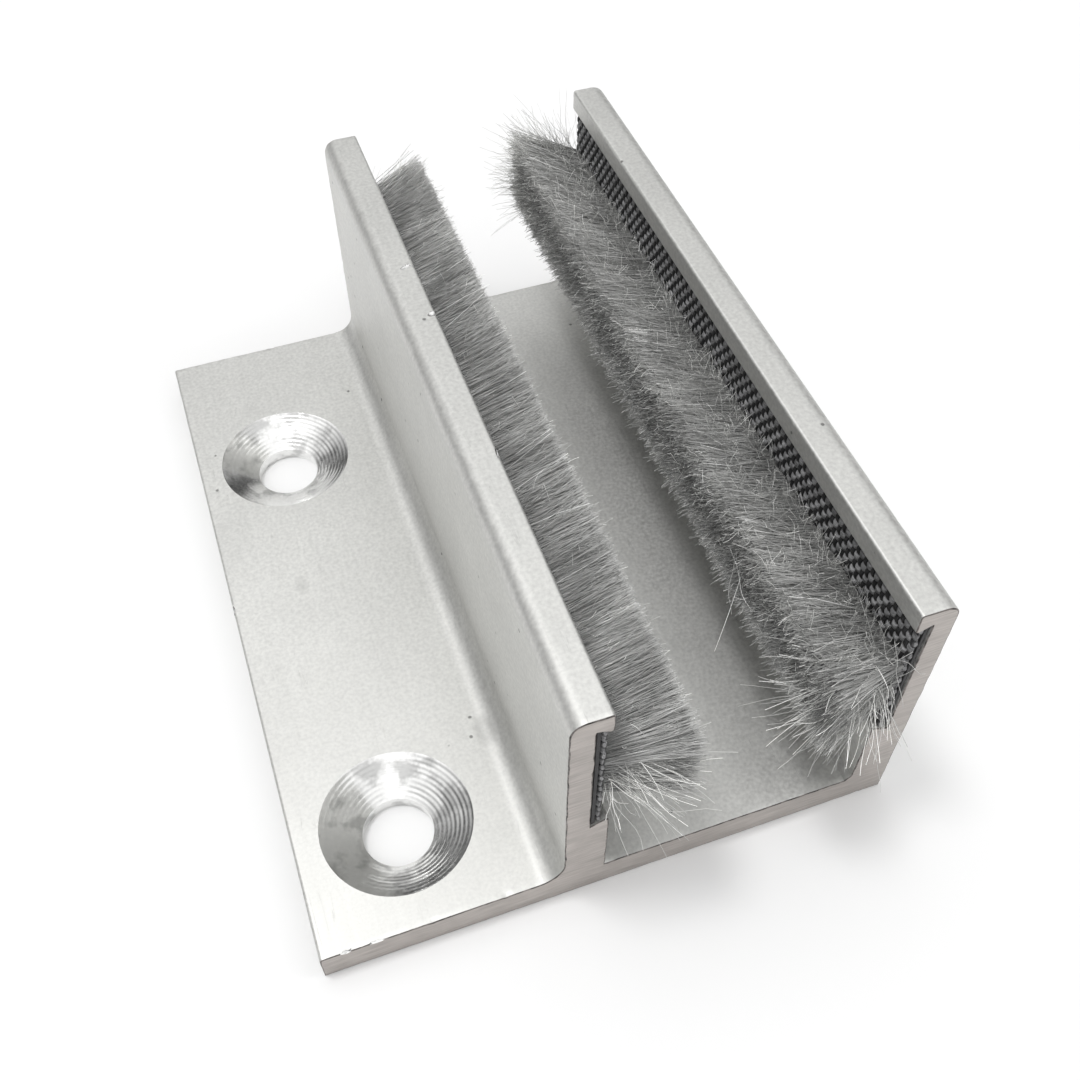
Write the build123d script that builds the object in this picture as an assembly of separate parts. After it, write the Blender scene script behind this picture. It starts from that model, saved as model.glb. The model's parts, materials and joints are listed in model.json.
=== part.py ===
from build123d import *
import math
import os

# Brush-lined floor guide for a sliding door panel.
#
# One aluminium extrusion carries everything. Its base plate runs out on the -X side as a
# fixing flange with two countersunk screw holes, and two walls stand on the plate as an
# upright channel. Inside each wall a shallow groove, undercut at both edges, holds the
# woven backing of a pile strip. The grooves are open at both ends, so a strip slides in
# and out along Y.
#
# Frame: X across the profile, Y along the extrusion, Z up. The origin is the middle of
# the footprint on the underside. All sizes are in millimetres.

# ---- extrusion ----
profile_length = 62.5
profile_width = 45.0
profile_height = 25.0
plate_thickness = 3.0
flange_width = 18.3            # flange edge to the outer face of the near wall
wall_thickness = 1.8           # behind the groove
ledge_depth = 1.4              # how far the lower wall stands in from the groove's back
groove_floor_height = 10.2     # underside to the groove's floor, at its back
lip_reach = 3.0                # outer face of a wall to the tip of its lip
lip_thickness = 1.5            # at the groove's back
undercut_slope = 0.5           # rise of each hooked edge per millimetre from the back
flange_fillet = 2.0
top_round = 1.2
corner_break = 0.25
channel_chamfer = 0.5

# ---- screw holes in the flange ----
screw_hole_diameter = 5.5
countersink_diameter = 11.7
countersink_angle = 118.0
screw_hole_inset = 7.9         # flange edge to the hole centres
first_hole_offset = 8.4        # -Y end to the first hole centre
screw_hole_spacing = 38.9

# ---- pile strips ----
groove_clearance = 0.1         # round the backing, in its groove
strip_end_gap = 0.15           # backing to the sawn end, at each end
coating_thickness = 0.25
backing_thickness = 0.55
pile_height = 6.0              # backing face to the tips
pile_root_width = 4.0          # height of the pile band where it leaves the backing
pile_tip_width = 6.6           # height of the band at the tips
pile_tip_rise = 0.4            # how much higher the tips' middle is than the roots'
pile_end_splay = 1.5           # how far the tips lean out past the backing's ends

# ---- what follows from them ----
left_edge = -profile_width / 2
left_wall = left_edge + flange_width
right_wall = profile_width / 2
groove_top_height = profile_height - lip_thickness
backing_length = profile_length - 2 * strip_end_gap
lip_drop = undercut_slope * (lip_reach - wall_thickness)
ledge_rise = undercut_slope * ledge_depth


def wall_corners(outer, inward):
    """The inner outline of one wall, from the lip's top down to the plate."""
    tip = outer + inward * lip_reach
    back = outer + inward * wall_thickness
    ledge = back + inward * ledge_depth
    return [
        (tip, profile_height),
        (tip, groove_top_height - lip_drop),
        (back, groove_top_height),
        (back, groove_floor_height),
        (ledge, groove_floor_height + ledge_rise),
        (ledge, plate_thickness),
    ]


def corners_at(outline, points):
    """The outline's vertices at the given points."""
    return [outline.vertices().sort_by_distance(Vector(x, z))[0] for x, z in points]


def profile_section():
    """The extrusion's cross-section, drawn with X across and Z up."""
    left = wall_corners(left_wall, 1)
    right = wall_corners(right_wall, -1)
    foot = (left_wall, plate_thickness)
    flange_corner = (left_edge, plate_thickness)
    points = [(left_edge, 0), (right_wall, 0), (right_wall, profile_height)]
    points += right
    points += left[::-1]
    points += [(left_wall, profile_height), foot, flange_corner]
    outline = make_face(Polyline(*points, close=True))
    outline = fillet(corners_at(outline, [foot]), flange_fillet)
    shoulders = [(left_wall, profile_height), (right_wall, profile_height)]
    outline = fillet(corners_at(outline, shoulders), top_round)
    broken = left[:2] + right[:2] + [left[4], right[4], flange_corner]
    outline = fillet(corners_at(outline, broken), corner_break)
    return chamfer(corners_at(outline, [right[5]]), channel_chamfer)


def countersunk_hole(x, y):
    """What a screw hole takes out of the flange."""
    hole_radius = screw_hole_diameter / 2
    sink_radius = countersink_diameter / 2
    half_angle = math.radians(countersink_angle / 2)
    sink_depth = (sink_radius - hole_radius) / math.tan(half_angle)
    hole = Pos(x, y, plate_thickness / 2) * Cylinder(hole_radius, 2 * plate_thickness)
    cone = Cone(hole_radius, sink_radius, sink_depth)
    return hole + Pos(x, y, plate_thickness - sink_depth / 2) * cone


def channel_profile():
    """The sawn length of extrusion with its two screw holes."""
    section = Plane.XZ * profile_section()
    body = extrude(section, amount=profile_length / 2, both=True)
    x = left_edge + screw_hole_inset
    y = -profile_length / 2 + first_hole_offset
    for place in (y, y + screw_hole_spacing):
        body -= countersunk_hole(x, place)
    return body


def groove_layer(outer, inward, near, far):
    """A flat layer across the groove, between two distances from the groove's back."""
    back = outer + inward * wall_thickness
    corners = []
    for depth in (near, far):
        low = groove_floor_height + undercut_slope * depth + groove_clearance
        corners.append((back + inward * depth, low))
    for depth in (far, near):
        high = groove_top_height - undercut_slope * depth - groove_clearance
        corners.append((back + inward * depth, high))
    section = make_face(Polyline(*corners, close=True))
    return extrude(Plane.XZ * section, amount=backing_length / 2, both=True)


def pile(outer, inward, root):
    """The brush itself, one soft block that widens from its roots to its tips."""
    start = outer + inward * (wall_thickness + root)
    middle = (groove_floor_height + groove_top_height) / 2
    tip_length = backing_length + 2 * pile_end_splay
    tip_middle = middle + pile_tip_rise
    root_band = Pos(0, middle) * Rectangle(backing_length, pile_root_width)
    tip_band = Pos(0, tip_middle) * Rectangle(tip_length, pile_tip_width)
    ends = [
        Plane.YZ.offset(start) * root_band,
        Plane.YZ.offset(start + inward * pile_height) * tip_band,
    ]
    return loft(ends if inward > 0 else ends[::-1])


def pile_strip(side, outer, inward):
    """The three layers of one strip, by node name."""
    film = groove_clearance + coating_thickness
    face = film + backing_thickness
    return {
        side + "_back_coating": groove_layer(outer, inward, groove_clearance, film),
        side + "_woven_backing": groove_layer(outer, inward, film, face),
        side + "_pile": pile(outer, inward, face),
    }


nodes = {"channel_profile": channel_profile()}
nodes.update(pile_strip("left", left_wall, 1))
nodes.update(pile_strip("right", right_wall, -1))

os.makedirs("parts", exist_ok=True)
for name, shape in nodes.items():
    export_step(shape, "parts/" + name + ".step")
    size = shape.bounding_box().size
    print(f"{name}: {shape.volume:.1f} mm3, {size.X:.2f} x {size.Y:.2f} x {size.Z:.2f} mm")
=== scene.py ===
"""The looks of a sliding-door floor guide: an aluminium channel that holds two brush strips.

It is laid out as an add-on and run as a script. Sizes are in metres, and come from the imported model
where it has them. One operator makes each group of pieces, and main() calls them in order.
"""

import json
import math
import random

import bmesh
import bpy
from bpy.props import FloatProperty, FloatVectorProperty, IntProperty, PointerProperty
from mathutils import Euler, Matrix, Vector, noise


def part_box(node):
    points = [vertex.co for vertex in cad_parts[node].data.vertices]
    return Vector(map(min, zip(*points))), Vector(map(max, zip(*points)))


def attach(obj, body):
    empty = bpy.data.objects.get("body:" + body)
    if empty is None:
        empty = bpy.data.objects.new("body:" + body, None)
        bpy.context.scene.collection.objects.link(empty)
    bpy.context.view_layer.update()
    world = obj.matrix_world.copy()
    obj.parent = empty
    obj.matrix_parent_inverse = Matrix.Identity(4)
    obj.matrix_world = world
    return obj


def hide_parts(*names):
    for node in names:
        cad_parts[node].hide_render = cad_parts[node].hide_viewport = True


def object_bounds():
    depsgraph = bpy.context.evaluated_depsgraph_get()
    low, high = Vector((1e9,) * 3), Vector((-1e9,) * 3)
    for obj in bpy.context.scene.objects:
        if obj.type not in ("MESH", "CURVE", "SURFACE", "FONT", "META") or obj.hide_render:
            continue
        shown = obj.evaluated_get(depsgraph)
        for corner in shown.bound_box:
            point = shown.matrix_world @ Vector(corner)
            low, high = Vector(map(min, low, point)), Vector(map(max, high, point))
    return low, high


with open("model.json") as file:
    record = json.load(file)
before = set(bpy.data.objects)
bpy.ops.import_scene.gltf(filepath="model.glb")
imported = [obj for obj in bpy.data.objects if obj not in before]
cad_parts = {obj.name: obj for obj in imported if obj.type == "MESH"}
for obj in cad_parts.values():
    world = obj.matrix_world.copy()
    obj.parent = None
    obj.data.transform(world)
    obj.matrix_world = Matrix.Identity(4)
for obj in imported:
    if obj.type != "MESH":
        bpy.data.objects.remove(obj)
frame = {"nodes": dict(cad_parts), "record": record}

bl_info = {
    "name": "Sliding-door floor guide",
    "version": (1, 0, 0),
    "blender": (4, 5, 0),
    "location": "3D View > Sidebar > Floor guide",
    "description": "Builds an extruded aluminium floor guide with two woven-back brush strips",
    "category": "Object",
}

MM = 0.001
CAD_BOX = [list(corner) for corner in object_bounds()]
WELD = 1e-6
SIDES = ("left", "right")
REACH = {"left": 1, "right": -1}


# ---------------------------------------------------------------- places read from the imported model


def corners_of(node):
    """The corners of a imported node's mesh."""
    return [vertex.co for vertex in frame["nodes"][node].data.vertices]


def profile_outline():
    """The profile's section at its near end, as one loop of (x, z) corners, anticlockwise."""
    shape = bmesh.new()
    shape.from_mesh(frame["nodes"]["channel_profile"].data)
    bmesh.ops.remove_doubles(shape, verts=shape.verts, dist=WELD)
    near = min(vertex.co.y for vertex in shape.verts)
    cap = {face for face in shape.faces if all(v.co.y < near + WELD for v in face.verts)}
    rim = {edge for edge in shape.edges if sum(face in cap for face in edge.link_faces) == 1}
    start = next(iter(sorted(rim, key=lambda edge: edge.index)))
    loop = [start.verts[0], start.verts[1]]
    while len(loop) < len(rim):
        tail = next(e for e in loop[-1].link_edges if e in rim and e.other_vert(loop[-1]) is not loop[-2])
        loop.append(tail.other_vert(loop[-1]))
    points = [(v.co.x, v.co.z) for v in loop]
    shape.free()
    pairs = zip(points, points[1:] + points[:1])
    area = sum(a[0] * b[1] - b[0] * a[1] for a, b in pairs)
    return points if area > 0 else points[::-1]


def screw_holes():
    """Each screw hole as (x, y, hole radius), from the bolt pattern that the record gives."""
    pattern = next(m for m in frame["record"]["mounts"] if m["kind"] == "bolt_pattern")
    x, y, _ = pattern["pos_m"]
    half = pattern["dims"]["spacing_y_mm"] * MM / 2
    return [(x, y + side * half, pattern["dims"]["hole_r_mm"] * MM) for side in (-1, 1)]


def countersink(x, y, radius):
    """A countersink's (rim radius, rim height, foot height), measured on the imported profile."""
    near = [(math.hypot(c.x - x, c.y - y), c.z) for c in corners_of("channel_profile")]
    around = [(r, z) for r, z in near if r < 2.6 * radius and z > WELD]
    rim_height = max(z for _, z in around)
    rim = max(r for r, z in around if z > rim_height - WELD)
    foot = max(z for r, z in around if r < radius + 0.05 * MM)
    return rim, rim_height, foot


def root_band(side):
    """The pile's root plane x and its lowest and highest z there, on one strip."""
    corners = corners_of(f"{side}_pile")
    face = min(c.x for c in corners) if side == "left" else max(c.x for c in corners)
    heights = [c.z for c in corners if abs(c.x - face) < WELD]
    return face, min(heights), max(heights)


# ---------------------------------------------------------------- short ways to write node trees


class Wire:
    """A node's output that can be used in plain arithmetic inside its tree."""

    def __init__(self, graph, node, output):
        self.graph = graph
        self.node = node
        self.output = output

    def __getitem__(self, output):
        return Wire(self.graph, self.node, output)

    @property
    def socket(self):
        return self.node.outputs[self.output]

    def math(self, operation, *others):
        values = dict(enumerate((self, *others)))
        return self.graph.add("ShaderNodeMath", values, operation=operation)

    def __add__(self, other):
        return self.math("ADD", other)

    def __sub__(self, other):
        return self.math("SUBTRACT", other)

    def __mul__(self, other):
        return self.math("MULTIPLY", other)

    def __truediv__(self, other):
        return self.math("DIVIDE", other)

    def __rsub__(self, other):
        return (self * -1.0) + other

    __radd__ = __add__
    __rmul__ = __mul__

    def vector(self, operation, other=None):
        if operation == "SCALE":
            return self.graph.add("ShaderNodeVectorMath", {0: self, 3: other}, operation=operation)
        values = {0: self} if other is None else {0: self, 1: other}
        return self.graph.add("ShaderNodeVectorMath", values, operation=operation)

    def fit(self, low, high, to_low=0.0, to_high=1.0):
        """The value moved from one range to another, and kept inside it."""
        values = {0: self, 1: low, 2: high, 3: to_low, 4: to_high}
        return self.graph.add("ShaderNodeMapRange", values, clamp=True)

    def parts(self):
        """A vector's x, y and z."""
        split = self.graph.add("ShaderNodeSeparateXYZ", {0: self})
        return split[0], split[1], split[2]


class Graph:
    """A node tree with one way to add a node and wire it."""

    def __init__(self, tree):
        self.tree = tree

    def add(self, kind, wires=None, output=0, **settings):
        node = self.tree.nodes.new(kind)
        for name, value in settings.items():
            setattr(node, name, value)
        for key, value in (wires or {}).items():
            self.plug(node.inputs[key], value)
        return Wire(self, node, output)

    def plug(self, socket, value):
        if isinstance(value, Wire):
            self.tree.links.new(value.socket, socket)
        else:
            socket.default_value = value

    def combine(self, x, y, z):
        return self.add("ShaderNodeCombineXYZ", {0: x, 1: y, 2: z})

    def noise(self, place, scale, detail=2.0, w=None):
        """Noise between 0 and 1 at a place given in metres, with the scale in waves a millimetre."""
        values = {"Vector": place, "Scale": scale / MM, "Detail": detail}
        if w is None:
            return self.add("ShaderNodeTexNoise", values)
        values["W"] = w
        return self.add("ShaderNodeTexNoise", values, noise_dimensions="4D")


class Shape(Graph):
    """A Geometry Nodes tree with named inputs, and one output mesh."""

    def __init__(self, name):
        super().__init__(bpy.data.node_groups.new(name, "GeometryNodeTree"))
        face = self.tree.interface
        face.new_socket("Geometry", in_out="INPUT", socket_type="NodeSocketGeometry")
        face.new_socket("Geometry", in_out="OUTPUT", socket_type="NodeSocketGeometry")
        self.entry = self.tree.nodes.new("NodeGroupInput")
        self.exit = self.tree.nodes.new("NodeGroupOutput")

    def ask(self, name, kind="Float"):
        """A named input of the tree."""
        self.tree.interface.new_socket(name, in_out="INPUT", socket_type="NodeSocket" + kind)
        return Wire(self, self.entry, name)

    def geometry(self):
        return Wire(self, self.entry, "Geometry")

    def give(self, wire):
        self.plug(self.exit.inputs["Geometry"], wire)

    def position(self):
        return self.add("GeometryNodeInputPosition")

    def random(self, low, high, seed):
        values = {2: low, 3: high, 8: seed}
        return self.add("FunctionNodeRandomValue", values, output=1, data_type="FLOAT")

    def random_vector(self, size, seed):
        values = {0: (-size,) * 3, 1: (size,) * 3, 8: seed}
        return self.add("FunctionNodeRandomValue", values, output=0, data_type="FLOAT_VECTOR")


def run_tree(shape, name, base, values):
    """Runs a Geometry Nodes tree on a mesh and returns the result as a new plain mesh object."""
    seed = bpy.data.objects.new(name + "_seed", base)
    bpy.context.scene.collection.objects.link(seed)
    modifier = seed.modifiers.new("Shape", "NODES")
    modifier.node_group = shape.tree
    for item in shape.tree.interface.items_tree:
        if item.in_out == "INPUT" and item.name in values:
            modifier[item.identifier] = values[item.name]
    result = plain_copy(seed, name)
    bpy.data.objects.remove(seed)
    return result


def plain_copy(source, name):
    """The evaluated object as a new object with a plain mesh and no modifiers."""
    bpy.context.view_layer.update()
    depsgraph = bpy.context.evaluated_depsgraph_get()
    mesh = bpy.data.meshes.new_from_object(source.evaluated_get(depsgraph), depsgraph=depsgraph)
    if not mesh.polygons:
        raise RuntimeError(f"{name} came out empty")
    mesh.name = name
    piece = bpy.data.objects.new(name, mesh)
    bpy.context.scene.collection.objects.link(piece)
    return piece


def settle(piece, body, slot, *nodes):
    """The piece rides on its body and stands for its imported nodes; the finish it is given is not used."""
    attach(piece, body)
    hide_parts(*nodes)


# ---------------------------------------------------------------- materials


def new_material(name):
    """A node material, its tree and its Principled shader."""
    material = bpy.data.materials.new(name)
    material.use_nodes = True
    graph = Graph(material.node_tree)
    shader = material.node_tree.nodes["Principled BSDF"]
    return material, graph, shader


def stretched(graph, scale, turn=(0.0, 0.0, 0.0)):
    """Object coordinates, turned and stretched."""
    place = graph.add("ShaderNodeTexCoord")["Object"]
    return graph.add("ShaderNodeMapping", {"Vector": place, "Rotation": turn, "Scale": scale})


def tinted(graph, colour, *shades):
    """A colour multiplied by several grey values."""
    result = None
    for shade in shades:
        result = shade if result is None else result * shade
    return graph.add("ShaderNodeVectorMath", {0: colour[:3], 3: result}, operation="SCALE")


def bump(graph, height, depth, strength=1.0):
    return graph.add("ShaderNodeBump", {"Strength": strength, "Distance": depth, "Height": height})


def specks(graph, scale, size, share, stretch=(1.0, 1.0, 1.0)):
    """1 on small irregular spots and 0 between them. Share is how many cells hold a spot."""
    place = stretched(graph, stretch)
    rough = graph.noise(place, scale * 6)
    moved = place.vector("ADD", rough["Color"].vector("SCALE", 0.12 * MM))
    cells = graph.add("ShaderNodeTexVoronoi", {"Vector": moved, "Scale": scale / MM})
    kept = cells["Color"].parts()[0].math("LESS_THAN", share)
    return cells["Distance"].fit(size, size * 0.6) * kept


def anodised_material(look):
    """Satin anodised aluminium: fine etch grain, faint die lines, pits and hairline scratches."""
    material, graph, shader = new_material("satin_anodised_aluminium")
    place = stretched(graph, (1.0, 1.0, 1.0))
    grain = graph.noise(place, 3.4, 3.0)
    cloud = graph.noise(place, 0.12, 3.0)
    die = graph.noise(stretched(graph, (1.0, 0.012, 1.0)), 2.2, 3.0)
    pits = specks(graph, 0.42, 0.075, 0.34)
    smudges = specks(graph, 0.1, 0.1, 0.5, (1.0, 0.6, 1.0))
    hair = graph.noise(stretched(graph, (1.0, 0.05, 1.0), (0.0, 0.0, 0.9)), 1.3, 2.0)
    hair = (hair - 0.5).math("ABSOLUTE").fit(0.004, 0.0)
    hair = hair * graph.noise(place, 0.25).fit(0.52, 0.6)
    shade = tinted(
        graph,
        look.anodised,
        grain.fit(0.3, 0.7, 0.9, 1.1),
        cloud.fit(0.3, 0.7, 0.96, 1.04),
        die.fit(0.3, 0.7, 0.985, 1.015),
        pits.fit(0.0, 1.0, 1.0, 0.42),
        smudges.fit(0.0, 1.0, 1.0, 0.84),
        hair.fit(0.0, 1.0, 1.0, 0.88),
    )
    graph.plug(shader.inputs["Base Color"], shade)
    graph.plug(shader.inputs["Roughness"], grain.fit(0.3, 0.7, 0.46, 0.58))
    graph.plug(shader.inputs["Metallic"], 0.85)
    height = grain + pits * -4.0 + hair * -1.2
    graph.plug(shader.inputs["Normal"], bump(graph, height, 0.006 * MM, 0.6))
    return material


def sawn_material(look):
    """Bare sawn aluminium, with fine level saw marks."""
    material, graph, shader = new_material("sawn_aluminium")
    place = stretched(graph, (1.0, 1.0, 1.0))
    wander = graph.noise(place, 0.25, 1.0)
    x, _, z = place.parts()
    across = z + wander * (0.5 * MM)
    marks = graph.noise(graph.combine(x * 0.05, 0.0, across), 7.0, 3.0)
    coarse = graph.noise(graph.combine(x * 0.03, 0.0, across), 1.6, 2.0)
    patch = graph.noise(place, 0.5, 3.0)
    shade = tinted(
        graph,
        look.sawn,
        marks.fit(0.3, 0.7, 0.86, 1.08),
        coarse.fit(0.3, 0.7, 0.94, 1.05),
        patch.fit(0.3, 0.7, 0.93, 1.05),
    )
    graph.plug(shader.inputs["Base Color"], shade)
    graph.plug(shader.inputs["Roughness"], marks.fit(0.3, 0.7, 0.58, 0.42))
    graph.plug(shader.inputs["Metallic"], 0.7)
    graph.plug(shader.inputs["Normal"], bump(graph, marks + coarse, 0.02 * MM, 0.7))
    return material


def edge_shade_material(look):
    """Painted shade along the sawn edges, beside the burr ridge, broken up along its length."""
    material, graph, shader = new_material("sawn_edge_painted_shade")
    place = stretched(graph, (1.0, 1.0, 1.0))
    broken = graph.noise(place, 1.4, 3.0)
    fine = graph.noise(place, 6.0, 2.0)
    shade = tinted(graph, look.edge, broken.fit(0.35, 0.6, 0.45, 2.4), fine.fit(0.3, 0.7, 0.8, 1.2))
    graph.plug(shader.inputs["Base Color"], shade)
    graph.plug(shader.inputs["Roughness"], 0.6)
    graph.plug(shader.inputs["Metallic"], 0.6)
    graph.plug(shader.inputs["Normal"], bump(graph, fine, 0.02 * MM, 0.6))
    return material


def machined_material(look):
    """Bare drilled aluminium, bright, with torn patches between its turning rings."""
    material, graph, shader = new_material("machined_aluminium")
    place = stretched(graph, (1.0, 1.0, 1.0))
    smear = graph.noise(place, 0.55, 3.0)
    fine = graph.noise(place, 3.5, 3.0)
    torn = smear.fit(0.5, 0.62)
    shade = tinted(graph, look.machined, torn.fit(0.0, 1.0, 1.0, 0.66), fine.fit(0.3, 0.7, 0.95, 1.04))
    graph.plug(shader.inputs["Base Color"], shade)
    graph.plug(shader.inputs["Roughness"], fine.fit(0.3, 0.7, 0.16, 0.24))
    graph.plug(shader.inputs["Metallic"], 1.0)
    graph.plug(shader.inputs["Normal"], bump(graph, smear, 0.03 * MM, 0.5))
    return material


def resin_material(look):
    """The thin matt resin film on the back of the weave."""
    material, graph, shader = new_material("matt_back_resin")
    place = stretched(graph, (1.0, 1.0, 1.0))
    mottle = graph.noise(place, 1.5, 4.0)
    print_through = graph.noise(stretched(graph, (1.0, 0.4, 1.0)), 2.0, 1.0)
    shade = tinted(graph, look.resin, mottle.fit(0.3, 0.7, 0.7, 1.3))
    graph.plug(shader.inputs["Base Color"], shade)
    graph.plug(shader.inputs["Roughness"], mottle.fit(0.3, 0.7, 0.55, 0.75))
    graph.plug(shader.inputs["Normal"], bump(graph, mottle + print_through, 0.05 * MM, 0.6))
    return material


def yarn_material(name, colour, along, roughness):
    """A bundle of fine glossy filaments that run along one axis."""
    material, graph, shader = new_material(name)
    filaments = graph.noise(stretched(graph, along), 9.0, 2.0)
    blotch = graph.noise(stretched(graph, (1.0, 1.0, 1.0)), 1.1, 2.0)
    shade = tinted(graph, colour, filaments.fit(0.3, 0.7, 0.55, 1.5), blotch.fit(0.35, 0.65, 0.6, 1.3))
    graph.plug(shader.inputs["Base Color"], shade)
    graph.plug(shader.inputs["Roughness"], roughness)
    graph.plug(shader.inputs["Normal"], bump(graph, filaments, 0.03 * MM, 0.8))
    return material


def fibre_material(name, colour, root_painted_shade, painted_tip_shade_and_light, pale_and_glint_share):
    """Glossy filaments, each with its own grey, with painted shade at the roots. The tip pair gives the tips
    of inner filaments painted shade and those of outer filaments painted light; some filaments are pale,
    partly their own tone and partly painted glints.
    """
    material, graph, shader = new_material(name)
    tone = graph.add("ShaderNodeAttribute", attribute_name="fibre_tone")["Fac"]
    run = graph.add("ShaderNodeAttribute", attribute_name="fibre_run")["Fac"]
    outer = graph.add("ShaderNodeAttribute", attribute_name="fibre_outer")["Fac"]
    clump = graph.noise(stretched(graph, (1.0, 0.7, 1.0)), 0.3, 3.0)
    # The tips of inner filaments get painted shade and those of outer filaments painted light.
    inner_tip_painted_shade, outer_tip_painted_light = painted_tip_shade_and_light
    tip_painted_light_factor = (outer * outer).fit(0.0, 1.0, inner_tip_painted_shade, outer_tip_painted_light)
    tip = 1.0 + run.fit(0.72, 1.0) * (tip_painted_light_factor - 1.0)
    # Some filaments are pale, partly their own tone and partly painted glints.
    pale_and_glint = tone.math("GREATER_THAN", 1.0 - pale_and_glint_share)
    # The roots are darkened as painted shade.
    shade = tinted(
        graph,
        colour,
        tone.fit(0.0, 1.0, 0.78, 1.22),
        run.fit(0.0, 0.5, root_painted_shade, 1.0),
        tip,
        clump.fit(0.35, 0.65, 0.8, 1.18),
        pale_and_glint.fit(0.0, 1.0, 1.0, 1.6),
    )
    graph.plug(shader.inputs["Base Color"], shade)
    graph.plug(shader.inputs["Roughness"], 0.34)
    graph.plug(shader.inputs["Specular IOR Level"], 0.6)
    return material


def packed_shade_material(look):
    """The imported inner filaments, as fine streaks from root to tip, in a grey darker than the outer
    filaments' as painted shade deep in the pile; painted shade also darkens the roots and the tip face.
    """
    material, graph, shader = new_material("packed_filaments_painted_shade")
    run = graph.add("ShaderNodeAttribute", attribute_name="fibre_run")["Fac"]
    streak = graph.noise(stretched(graph, (0.12, 1.0, 1.0)), 6.0, 3.0)
    lock = graph.noise(stretched(graph, (0.35, 1.0, 1.0)), 1.2, 2.0)
    shade = tinted(
        graph,
        look.packed,
        streak.fit(0.3, 0.7, 0.7, 1.3),
        lock.fit(0.3, 0.7, 0.85, 1.15),
        # Painted shade at the roots and on the tip face.
        run.fit(0.0, 0.5, 0.5, 1.0),
        run.fit(0.9, 1.0, 1.0, 0.55),
    )
    graph.plug(shader.inputs["Base Color"], shade)
    graph.plug(shader.inputs["Roughness"], 0.6)
    graph.plug(shader.inputs["Normal"], bump(graph, streak, 0.1 * MM, 0.8))
    return material


def floor_material(look):
    """The plain pale floor."""
    material, graph, shader = new_material("pale_floor")
    graph.plug(shader.inputs["Base Color"], (*look.floor, 1.0))
    graph.plug(shader.inputs["Roughness"], 0.9)
    graph.plug(shader.inputs["Specular IOR Level"], 0.0)
    return material


# ---------------------------------------------------------------- settings


def length(name, description, default):
    return FloatProperty(name=name, description=description, default=default, unit="LENGTH", precision=6)


def colour(name, description, default):
    return FloatVectorProperty(
        name=name, description=description, default=default, subtype="COLOR", min=0.0, max=1.0
    )


class FinishSettings(bpy.types.PropertyGroup):
    """Colours of the finishes."""

    anodised: colour("Anodised", "Satin anodised faces", (0.66, 0.66, 0.64))
    sawn: colour("Sawn ends", "Bare sawn aluminium", (0.5, 0.465, 0.44))
    machined: colour("Countersinks", "Bare drilled aluminium", (0.88, 0.88, 0.87))
    resin: colour("Back resin", "Film on the back of the weave", (0.035, 0.035, 0.036))
    # Lighter than the cross yarns: painted sheen, as both yarns are black.
    warp: colour("Long yarns", "Yarns along the strip", (0.25, 0.25, 0.255))
    weft: colour("Cross yarns", "Yarns across the strip", (0.02, 0.02, 0.021))
    fibre: colour("Pile", "Pile filaments", (0.52, 0.52, 0.51))
    # Darker than the pile's grey: painted shade deep in the pile.
    packed: colour("Packed pile", "Inner filaments, seen between the outer ones", (0.36, 0.36, 0.353))
    # Dark as painted shade along the sawn edges, beside the burr ridge.
    edge: colour("Sawn edges", "Dull burr along the sawn edges", (0.11, 0.1, 0.095))
    # Paler than the pile: painted light on the fuzz and fringe.
    lit_strand: colour("Loose strands", "Pale loose filaments", (0.7, 0.7, 0.68))
    floor: colour("Floor", "Plain pale floor", (0.92, 0.92, 0.92))


class ProfileSettings(bpy.types.PropertyGroup):
    """Sizes of the worked edges and holes of the profile."""

    outline_step: length("Outline step", "Longest step along the section's outline", 0.25 * MM)
    rings: IntProperty(name="Rings", description="Steps along half the bar", default=16, min=4)
    edge_break: length("Edge break", "Rounding of the sawn edges", 0.1 * MM)
    burr: length("Burr", "Height of the saw burr", 0.06 * MM)
    chip: length("Chip", "Depth of the chips along the sawn edges", 0.16 * MM)
    chatter_depth: length("Ring depth", "Depth of the turning rings", 0.03 * MM)
    chatter_pitch: length("Ring pitch", "Spacing of the turning rings", 0.4 * MM)


class WeaveSettings(bpy.types.PropertyGroup):
    """Sizes of the woven backing's yarns."""

    warps: IntProperty(name="Long yarns", description="Yarns side by side", default=17, min=2)
    weft_pitch: length("Cross pitch", "Spacing of the cross yarns", 0.5 * MM)
    warp_width: length("Long yarn width", "Width of a long yarn", 0.64 * MM)
    weft_width: length("Cross yarn width", "Width of a cross yarn", 0.42 * MM)
    looseness: length("Looseness", "How far the yarns wander", 0.05 * MM)
    bulge: length("Bulge", "How far the right weave rides up at one place", 0.4 * MM)
    bulge_place: length("Bulge place", "Where along the strip it rides up", 1.5 * MM)


class PileSettings(bpy.types.PropertyGroup):
    """Sizes of the cut pile."""

    heart_inset: length("Heart inset", "How deep the packed filaments lie under the outer ones", 0.35 * MM)
    sections: IntProperty(name="Sections", description="Meshes along one strip", default=4, min=1)
    density: FloatProperty(name="Density", description="Filaments a square millimetre", default=134.0)
    radius: length("Filament radius", "Radius at the root", 0.031 * MM)
    taper: FloatProperty(name="Taper", description="Tip radius over root radius", default=0.7)
    bend: length("Bend", "Bow of a filament over its length", 0.5 * MM)
    crimp: length("Crimp", "Wave of a filament", 0.14 * MM)
    ragged: FloatProperty(name="Raggedness", description="Share by which lengths vary", default=0.03)
    tangle: length("Tangle", "How far tips stray sideways", 0.9 * MM)
    clump: length("Clump", "How far neighbouring tips lean together", 0.45 * MM)


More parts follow.
